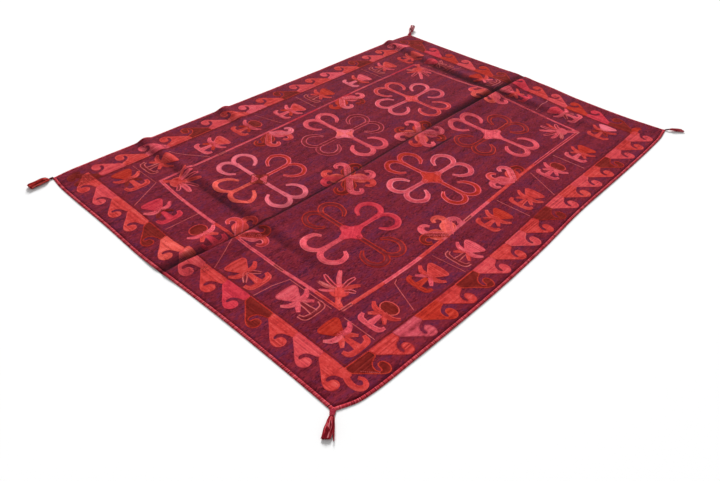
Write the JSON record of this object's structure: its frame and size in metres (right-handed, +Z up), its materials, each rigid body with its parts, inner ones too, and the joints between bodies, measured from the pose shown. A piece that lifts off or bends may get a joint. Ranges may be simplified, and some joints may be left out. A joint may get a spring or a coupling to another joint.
{
  "type": "kilim rug",
  "caption": "Flat-woven wool rug lying spread out, embroidered with horn and wave motifs, with a stitched edge binding and a yarn tassel at each corner.",
  "frame": {"origin": "middle of the rug's box, tassels included, on the floor it lies on", "axes": "+X along the rug's long side, +Y across it towards the far long side, +Z up from the floor"},
  "size_m": [2.6038, 1.8401, 0.022],
  "materials": {
    "ground_weave": "flat-woven plum wool with darker streaks",
    "embroidery_yarn": "chain-stitched wool in coral, orange-red, dusty pink and brick",
    "binding_yarn": "coral wool worked over the edge, with dark flecks",
    "tassel_yarn": "loose wool yarn in brick, wine and pink"
  },
  "bodies": {
    "root": {"cloth": "ground_weave", "binding_far": "binding_yarn", "binding_near": "binding_yarn", "binding_left": "binding_yarn", "binding_right": "binding_yarn", "tassel_neck_far_left": "tassel_yarn", "tassel_neck_far_right": "tassel_yarn", "tassel_neck_near_left": "tassel_yarn", "tassel_neck_near_right": "tassel_yarn", "tassel_skirt_far_left": "tassel_yarn", "tassel_skirt_far_right": "tassel_yarn", "tassel_skirt_near_left": "tassel_yarn", "tassel_skirt_near_right": "tassel_yarn"}
  },
  "joints": []
}
